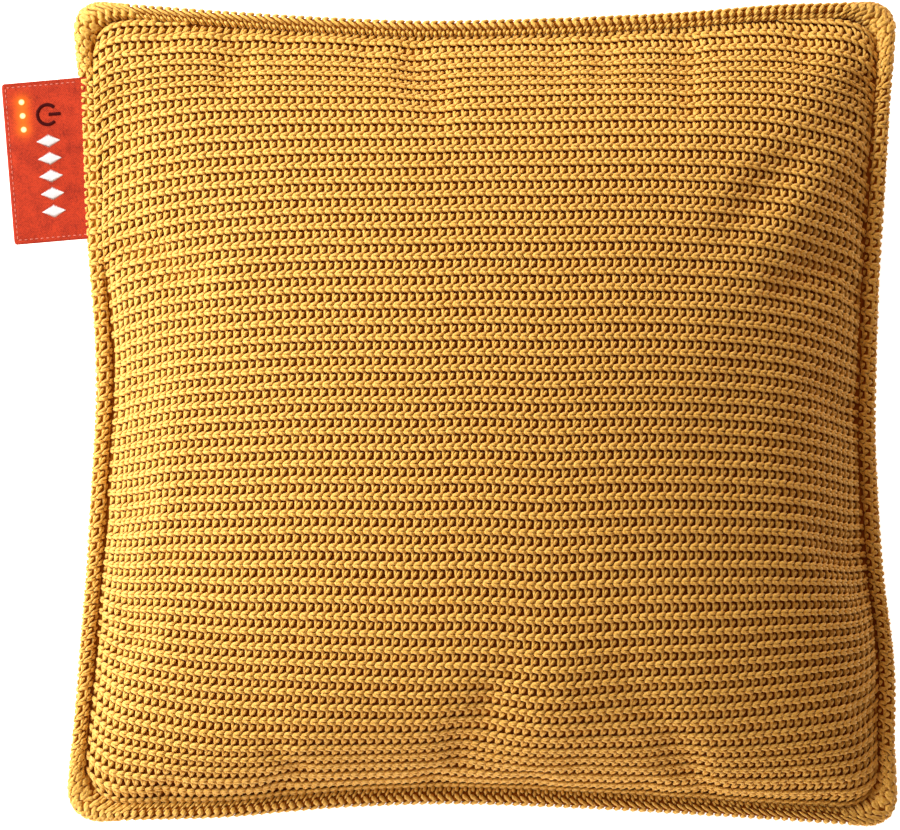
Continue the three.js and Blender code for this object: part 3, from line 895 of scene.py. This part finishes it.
knit = Knit()
for name in ("left", "right"):
    cloth, length = lips[name]
    size = (2 / ROUND_STITCHES, 2 / COURSES)
    per_mm = (2 / length, size[1] / COURSE_HIGH)
    rows = np.concatenate([np.arange(COURSES + 1), CORNER_COURSES])
    course = np.repeat(rows, ROUND_STITCHES + 2)
    stitch = np.tile(np.arange(-1, ROUND_STITCHES + 1), len(rows)) + course % 1
    for yarn, across, up, lean, height in RIB + HOLLOW:
        v = -1 + (course - FIRST_COURSE + up) * size[1]
        u = -1 + (stitch + across + SLANT * (course - COURSES / 2) % 1) * size[0]
        inside = (np.abs(v) < 1 - MARGIN * size[1]) & (np.abs(u) < 1)
        knit.lay(cloth, yarn, u[inside], v[inside], per_mm, lean, height * LIP_RELIEF)
for name in ("bottom", "top"):
    cloth, length = lips[name]
    size = 2 / WALES
    facing_in = 1 if name == "top" else -1
    per_mm = (size / WALE_WIDE, 2 / length)
    for rows, nearest in ((LIP_ROWS, 0), (CORNER_ROWS, 1 - CORNER_STITCHES * size)):
        for yarn, across, place, lean, height in rows:
            u = -1 + (np.arange(-1, WALES + 1) + across) * size
            u = u[(np.abs(u) < 1 + MARGIN * size) & (np.abs(u) >= nearest)]
            v = np.full(len(u), facing_in * place)
            knit.lay(cloth, yarn, u, v, per_mm, lean, height)
knit_pieces.append(knit.piece("lip_knit"))
print({piece.name: len(piece.data.polygons) for piece in knit_pieces[-1:]})

# %% [markdown]
# ## The control tab
#
# The tab is a strip of woven cloth, folded at its outer end round the press switch and sewn into the
# cushion's edge. A row of stitches just inside its three free edges draws the two layers together. A grid
# makes the strip: its rows are moved closer together at the fold and the edges, each point is laid on the
# folded strip by one function, and Solidify gives it the cloth's thickness.

# %% Sizes of the tab
TAB_WIDE, TAB_REACH, TAB_INSERTED = 88, 40.5, 8
TAB_THICK, TAB_LAYER = 2.6, 1.0
TAB_ROUND = 1.6
TAB_OUTER_END = (-258.9, 136)
TAB_TURN, TAB_DROOP = 4.7, 3.2  # degrees
EDGE_STITCH = {"inset": 2.4, "pitch": 3.0, "long": 2.1}
STITCH_PULL, PULL_REACH = 0.4, 1.2  # how far the stitches close the two layers, and how far that reaches
FOLD_RADIUS = (TAB_THICK - TAB_LAYER) / 2
FOLD_HALF = FOLD_RADIUS * math.pi / 2
STRIP_HALF = FOLD_HALF + TAB_REACH + TAB_INSERTED - TAB_THICK / 2

outer_height = SEAM_HEIGHT / MM - 0.4 - math.sin(math.radians(TAB_DROOP)) * TAB_REACH
tab_turn = Matrix.Rotation(math.radians(TAB_TURN), 3, "Z") @ Matrix.Rotation(math.radians(-TAB_DROOP), 3, "Y")


def in_tab(points):
    """Takes points in millimetres from the tab's own frame, with x from its outer end, to their place."""
    return (points @ np.array(tab_turn).T + (*TAB_OUTER_END, outer_height)) * MM


def strip_points(along, across, outwards=0.0):
    """Where the strip lies. along is 0 at the fold and minus below it, outwards leaves its middle line."""
    angle = np.clip(along / FOLD_RADIUS, -math.pi / 2, math.pi / 2)
    straight = np.maximum(np.abs(along) - FOLD_HALF, 0)
    radius = FOLD_RADIUS + outwards
    x = TAB_THICK / 2 - radius * np.cos(angle) + straight
    from_side = TAB_WIDE / 2 - np.abs(across)
    corner = TAB_ROUND - np.sqrt(TAB_ROUND**2 - np.clip(TAB_ROUND - from_side, 0, TAB_ROUND) ** 2)
    x = x + corner * hump(x, TAB_THICK)
    from_edge = np.minimum(from_side, x)
    wave = 0.5 + 0.5 * np.cos(2 * math.pi * np.where(from_side < x, x, across) / EDGE_STITCH["pitch"])
    pull = STITCH_PULL * (0.6 + 0.4 * wave) * hump(from_edge - EDGE_STITCH["inset"], PULL_REACH)
    sag = 0.25 * np.sin(x / 9 + across / 14) * np.clip(x / 10, 0, 1)
    z = radius * np.sin(angle) - np.sign(along) * pull + sag
    return np.stack([x, across + 0 * x, z], axis=-1)


# %% Fold the strip
def apply_modifier(name, kind, **settings):
    """Adds a modifier to the active object, and makes its result the object's own mesh."""
    modifier = bpy.context.active_object.modifiers.new(name, kind)
    for key, value in settings.items():
        setattr(modifier, key, value)
    bpy.ops.object.modifier_apply(modifier=name)


STRIP_ROWS, STRIP_COLUMNS = 40, 42

bpy.ops.object.select_all(action="DESELECT")
bpy.ops.mesh.primitive_grid_add(x_subdivisions=STRIP_ROWS, y_subdivisions=STRIP_COLUMNS, size=2)
tab = bpy.context.active_object
tab.name = "folded_tab"
flat_places = np.array([vertex.co for vertex in tab.data.vertices])
along = STRIP_HALF * (0.3 * flat_places[:, 0] + 0.7 * flat_places[:, 0] ** 3)
across = TAB_WIDE / 2 * (1.3 * flat_places[:, 1] - 0.3 * flat_places[:, 1] ** 3)
tab.data.vertices.foreach_set("co", in_tab(strip_points(along, across)).ravel())

weave_map = tab.data.uv_layers[0]
weave_map.name = "Weave"
corners = np.array([loop.vertex_index for loop in tab.data.loops])
weave_map.data.foreach_set("uv", np.stack([along, across], axis=-1)[corners].ravel())

apply_modifier("layer", "SOLIDIFY", thickness=TAB_LAYER * MM, offset=0)
apply_modifier("smooth", "SUBSURF", levels=1, render_levels=1)
bpy.ops.object.mode_set(mode="EDIT")
bpy.ops.mesh.select_all(action="SELECT")
bpy.ops.mesh.normals_make_consistent(inside=False)
bpy.ops.object.mode_set(mode="OBJECT")
bpy.ops.object.shade_smooth()
print("the tab has", len(tab.data.polygons), "faces")

# %% [markdown]
# ## Sewing and embroidery on the tab
#
# The sewing uses the same way as the knit: one short thread, laid along the tab's top. Running stitches are
# single threads with a gap after each. Satin stitch is threads side by side, so the power mark is a ring of
# threads laid across its stroke, and each of the plain lozenges below it is filled from point to point.

# %% The tab's top as a cloth
TABLE_INSET = 0.6  # the table begins this far in from the tab's edges
table_rows = np.linspace(TABLE_INSET, TAB_REACH + 4, 180)
table_columns = np.linspace(-1, 1, 265) * (TAB_WIDE / 2 - TABLE_INSET)
table_x, table_y = np.meshgrid(table_rows, table_columns)
top_length, top_width = float(np.ptp(table_x[0])), float(np.ptp(table_y[:, 0]))
top_along = table_x - TAB_THICK / 2 + FOLD_HALF
tab_top = Cloth(in_tab(strip_points(top_along, table_y, TAB_LAYER / 2)), 1)


def lay_threads(knit, x, y, turn, long, height=0.0):
    """Lays threads with their middles at x and y on the tab. long is in millimetres and turn in degrees."""
    u = 2 * (np.asarray(x, float) - TABLE_INSET) / top_length - 1
    v = 2 * np.asarray(y, float) / top_width
    knit.lay(tab_top, "thread", u, v, (2 / top_length, 2 / top_width), turn, height, long, loose=0.4)


# %% The running stitches
inset, pitch = EDGE_STITCH["inset"], EDGE_STITCH["pitch"]
side = TAB_WIDE / 2 - inset
down_the_side = np.arange(inset + pitch / 2, TAB_REACH + 2, pitch)
along_the_end = np.linspace(-side + pitch / 2, side - pitch / 2, round(2 * side / pitch))

sewing = Knit()
for edge in (-side, side):
    lay_threads(sewing, down_the_side, np.full(len(down_the_side), edge), 0, EDGE_STITCH["long"])
lay_threads(sewing, np.full(len(along_the_end), inset), along_the_end, 90, EDGE_STITCH["long"])
edge_stitches = sewing.piece("edge_stitches")

# %% The power mark
MARK_X, MARK_Y, MARK_RADIUS, MARK_STROKE = 24.2, 25.3, 5.4, 2.2
MARK_OPEN = 45  # degrees to each side of the bar
BAR_FROM, BAR_TO = 1, 7.2
THREAD_STEP = 0.36

step = math.degrees(THREAD_STEP / MARK_RADIUS)
turns = np.arange(MARK_OPEN, 360 - MARK_OPEN, step)
ring_x = MARK_X + MARK_RADIUS * np.cos(np.radians(turns))
ring_y = MARK_Y + MARK_RADIUS * np.sin(np.radians(turns))
bar_x = MARK_X + np.arange(BAR_FROM, BAR_TO, THREAD_STEP)

mark = Knit()
lay_threads(mark, ring_x, ring_y, turns, MARK_STROKE)
lay_threads(mark, bar_x, np.full(len(bar_x), MARK_Y), 90, MARK_STROKE)
power_mark = mark.piece("power_mark")

# %% The row of lozenges
LOZENGE_X, LOZENGE_Y, LOZENGE_PITCH, LOZENGE_COUNT = 23.7, -8.3, 9.6, 5
HALF_LONG, HALF_WIDE = 6.2, 3.7

steps = np.arange(-HALF_LONG, HALF_LONG + 0.1, THREAD_STEP)
places = LOZENGE_Y + LOZENGE_PITCH * (np.arange(LOZENGE_COUNT) - (LOZENGE_COUNT - 1) / 2)
lozenge_y, lozenge_x = (grid.ravel() for grid in np.meshgrid(places, steps))
thread_long = 0.5 + 2 * HALF_WIDE * (1 - np.abs(lozenge_x) / HALF_LONG)

motif = Knit()
lay_threads(motif, LOZENGE_X + lozenge_x, lozenge_y, 90, thread_long)
lozenges = motif.piece("lozenges")
print({piece.name: len(piece.data.polygons) for piece in (edge_stitches, power_mark, lozenges)})

# %% [markdown]
# ## The cloth behind the stitches
#
# Between the stitches the eye sees the knit's shaded inside. The filled body plays that part: it is
# drawn in a little under the yarn, deeper at the stitch line, filled out at the lip's corners and subdivided
# once, and takes a dark orange-brown, which is painted shade.

# %% Draw the body in under the yarn
UNDER_YARN, UNDER_SEAM, UNDER_LIP = 1.05 * MM, 2.5 * MM, -0.2 * MM
CORNER_FILL, CORNER_POWER = 1.2 * MM, 30  # how much further out the body fills the lip's corners

normals = np.empty(len(body_mesh.vertices) * 3)
body_mesh.vertex_normals.foreach_get("vector", normals)
depths = np.full((len(filled), 1), UNDER_YARN)
in_corner = np.abs(rim_p * rim_q) ** CORNER_POWER
for start in starts[1:-2]:
    depths[start : start + len(rim), 0] = UNDER_LIP - CORNER_FILL * in_corner
depths[loops[0]] = UNDER_SEAM
drawn_in = filled - depths * normals.reshape(-1, 3)
body_mesh.vertices.foreach_set("co", drawn_in.ravel())
bpy.ops.object.select_all(action="DESELECT")
body.select_set(True)
bpy.context.view_layer.objects.active = body
apply_modifier("smooth", "SUBSURF", levels=1, render_levels=1)
bpy.ops.object.shade_smooth()
print("the body now has", len(body.data.polygons), "faces")

# %% [markdown]
# ## The yarn's finish
#
# The yarn is soft and matt, spun from several plies. Its map runs along and round each piece, so a slanting
# wave gives the plies, with painted shade in the grooves between them, and noise in the piece's own
# coordinates gives the fibres and the uneven dye.

# %% Yarn and shade
YARN_LIGHT, YARN_MID, YARN_PLY_SHADE = (0.88, 0.56, 0.145, 1), (0.72, 0.375, 0.045, 1), (0.43, 0.14, 0.01, 1)

yarn = Finish("mustard yarn")
along, around = yarn.map("Strand")
plies = ((along * 0.4 + around * 2) * (2 * math.pi)).of("SINE") * 0.5 + 0.5
fibres = yarn.noise(1.1 * MM, 2, 0.7)
uneven = yarn.noise(6 * MM, 2)
light_share = (fibres * 3 + uneven * 0.5 - 1.25).of("MINIMUM", 1).of("MAXIMUM", 0)
colour = yarn.mix(light_share, YARN_MID, YARN_LIGHT)
# painted shade: the grooves between the plies are darkened
colour = yarn.mix((1 - plies) ** 2 * 0.3, colour, YARN_PLY_SHADE)
yarn.set(Base_Color=colour, Roughness=0.6, Specular_IOR_Level=0.25)
yarn.set(Sheen_Weight=0.3, Sheen_Roughness=0.5, Sheen_Tint=(1, 0.9, 0.65, 1))
yarn.bump(plies * 0.5 + fibres * 0.5, 0.25 * MM)

# painted shade: the body's dark orange-brown stands in for the shaded inside between the stitches
shade = Finish("painted shade inside the knit")
depth = shade.noise(2 * MM, 2)
shade.set(Base_Color=shade.mix(depth, (0.2, 0.05, 0.003, 1), (0.35, 0.11, 0.007, 1)), Roughness=0.95)
shade.set(Specular_IOR_Level=0.05)

for piece in knit_pieces:
    piece.data.materials.append(yarn.material)
body.data.materials.append(shade.material)

# %% [markdown]
# ## The tab's finishes
#
# The tab's cloth is a fine plain weave, so two crossed waves on its own map give the threads, and noise the
# uneven dye, and painted shade darkens the fold and the side edges. The lights shine through, which spreads
# an
# orange glow round each window: a soft hump on the map, fed to the cloth's own emission. The windows are
# white in the middle, with an orange rim.

# %% The tab's cloth
LIGHTS_ON_TAB = {"x": 10.7, "first": 33.2, "pitch": 7.5, "count": 3}
WEAVE_PITCH = 0.62  # millimetres
TAB_BRIGHT, TAB_DEEP = (0.54, 0.042, 0.011, 1), (0.2, 0.01, 0.005, 1)
GLOW_REACH = math.sqrt(15)  # millimetres
EDGE_SHADE = 0.55  # how far the shade darkens along the fold and the side edges

cloth = Finish("red tab cloth")
warp, weft = cloth.map("Weave")
over = (warp * (math.pi / WEAVE_PITCH)).of("SINE") * (weft * (math.pi / WEAVE_PITCH)).of("SINE")
blotches = cloth.noise(0.9 * MM, 2, 0.7) + cloth.noise(7 * MM, 2) * 0.6
from_side = TAB_WIDE / 2 - weft.of("ABSOLUTE")
# painted shade darkens the fold and the side edges of the tab
edge_shade = (warp * warp * -0.4).of("EXPONENT").of("MAXIMUM", (from_side * from_side * -0.8).of("EXPONENT"))
deep_share = (blotches * 2.2 - over * 0.4 - 1.45).of("MAXIMUM", edge_shade * EDGE_SHADE).of("MINIMUM", 1)
cloth.set(Base_Color=cloth.mix(deep_share, TAB_BRIGHT, TAB_DEEP), Roughness=0.8, Specular_IOR_Level=0.2)
cloth.bump(over * 0.5 + blotches * 0.5, 0.12 * MM)

beside = warp - (LIGHTS_ON_TAB["x"] - TAB_THICK / 2 + FOLD_HALF)
for place in range(LIGHTS_ON_TAB["count"]):
    above = weft - (LIGHTS_ON_TAB["first"] - place * LIGHTS_ON_TAB["pitch"])
    glow = ((beside * beside + above * above) * (-1 / GLOW_REACH**2)).of("EXPONENT")
    halo = glow if place == 0 else halo + glow
cloth.set(Emission_Color=cloth.mix(halo, (0, 0, 0, 1), (1.0, 0.2, 0.001, 1)), Emission_Strength=1.0)
tab.data.materials.append(cloth.material)

# %% The threads
THREAD_COLOURS = [
    # name, colour, shaded colour, pieces
    ("pale thread", (0.75, 0.27, 0.22, 1), (0.5, 0.13, 0.1, 1), [edge_stitches]),
    ("maroon thread", (0.07, 0.004, 0.005, 1), (0.035, 0.002, 0.002, 1), [power_mark]),
    ("white thread", (0.88, 0.88, 0.92, 1), (0.55, 0.52, 0.6, 1), [lozenges]),
]
for name, lit, shaded, thread_pieces in THREAD_COLOURS:
    thread = Finish(name)
    fibres = thread.noise(0.5 * MM, 2)
    thread.set(Base_Color=thread.mix(fibres, shaded, lit), Roughness=0.6, Specular_IOR_Level=0.05)
    thread.bump(fibres, 0.1 * MM)
    for piece in thread_pieces:
        piece.data.materials.append(thread.material)

# %% The lit windows
window = Finish("lit window")
nearest = 1
for place in range(LIGHTS_ON_TAB["count"]):
    low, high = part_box(f"light_{place + 1}")
    middle = ((low[0] + high[0]) / 2, (low[1] + high[1]) / 2, high[2])
    away = window.value("VectorMath", {"operation": "DISTANCE"}, {0: window.own, 1: middle}, output=1)
    nearest = away.of("MINIMUM", nearest)
rim_share = (nearest / ((high[0] - low[0]) / 2)) ** 2
window.set(Base_Color=(0.6, 0.3, 0.1, 1), Roughness=0.3)
window.set(Emission_Color=window.mix(rim_share.of("MINIMUM", 1), (1.0, 0.92, 0.7, 1), (1.0, 0.36, 0.05, 1)))
window.shader.inputs["Emission Strength"].default_value = 0.95
lit_windows = [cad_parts[f"light_{place + 1}"] for place in range(LIGHTS_ON_TAB["count"])]
for node in lit_windows:
    node.data.materials.clear()
    node.data.materials.append(window.material)

# %% [markdown]
# ## What each piece stands for
#
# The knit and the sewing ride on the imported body. The filled body and the folded tab take the place of the
# model's own two, and the windows keep the model's shapes.

# %% Say what each piece stands for
for piece in knit_pieces + [body]:
    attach(piece, BODY)
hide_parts("cushion")

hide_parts("control_tab")
for piece in (tab, edge_stitches, power_mark, lozenges):
    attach(piece, BODY)
2 * STRIP_HALF * MM
